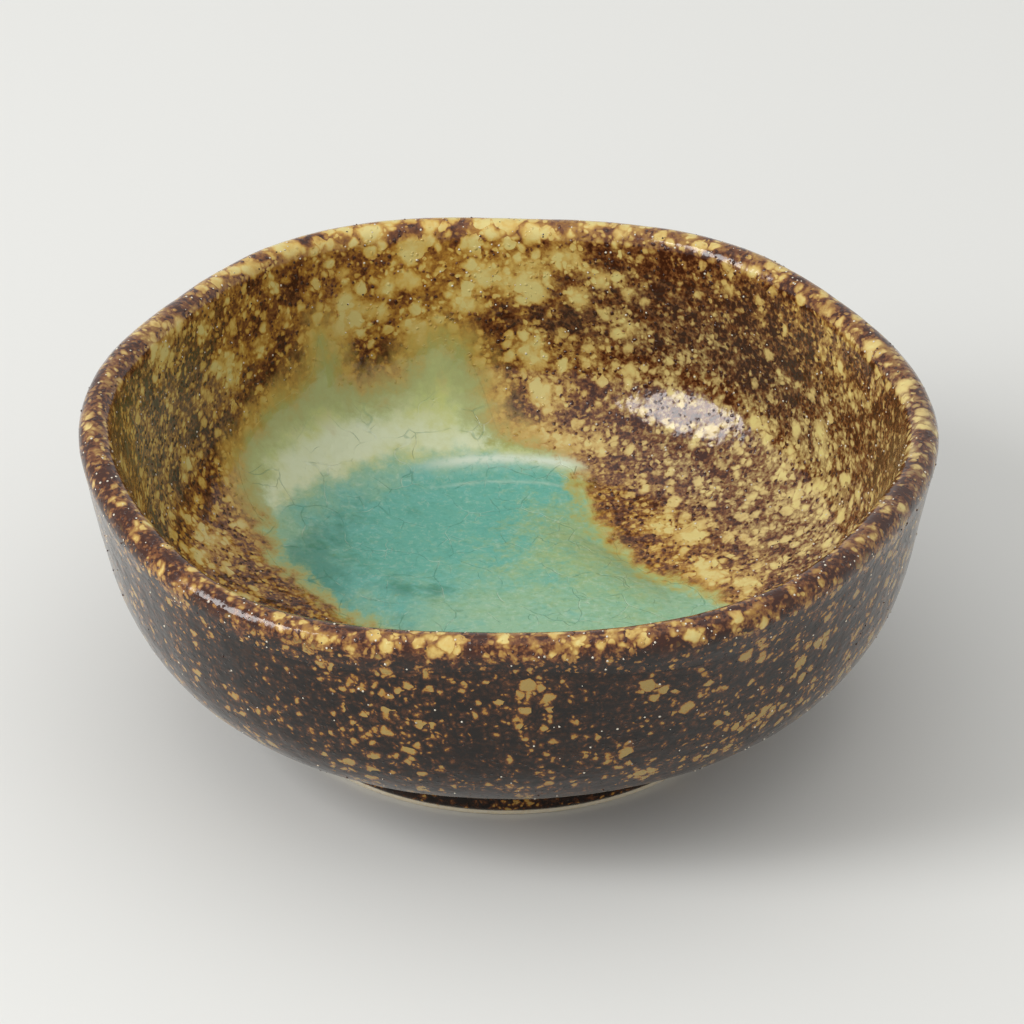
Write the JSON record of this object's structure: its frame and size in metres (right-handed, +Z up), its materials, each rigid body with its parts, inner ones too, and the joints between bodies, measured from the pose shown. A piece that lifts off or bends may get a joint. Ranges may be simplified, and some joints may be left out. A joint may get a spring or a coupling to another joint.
{
  "type": "small glazed stoneware bowl",
  "caption": "Low round hand-formed stoneware bowl on a turned foot ring, brown glaze outside, amber glaze inside and a pool of crackled turquoise glass in the well.",
  "frame": {"origin": "on the surface that the bowl stands on, under the centre of its bounding box", "axes": "+Z up through the mouth, -Y towards the side that faces the viewer in the picture, +X to that viewer's right"},
  "size_m": [0.1138, 0.112, 0.0458],
  "materials": {
    "stoneware": "bare fired clay, matte",
    "brown_glaze": "glossy, flecked",
    "amber_glaze": "glossy, speckled",
    "green_glaze": "glossy, translucent",
    "turquoise_glass": "very glossy, crackled glass melted onto the glaze"
  },
  "bodies": {
    "root": {"stoneware_body": "stoneware", "foot_ring": "stoneware", "brown_glaze_outside": "brown_glaze", "amber_glaze_inside": "amber_glaze", "green_glaze_run": "green_glaze", "turquoise_glass_pool": "turquoise_glass", "glaze_under_foot": "brown_glaze"}
  },
  "joints": []
}
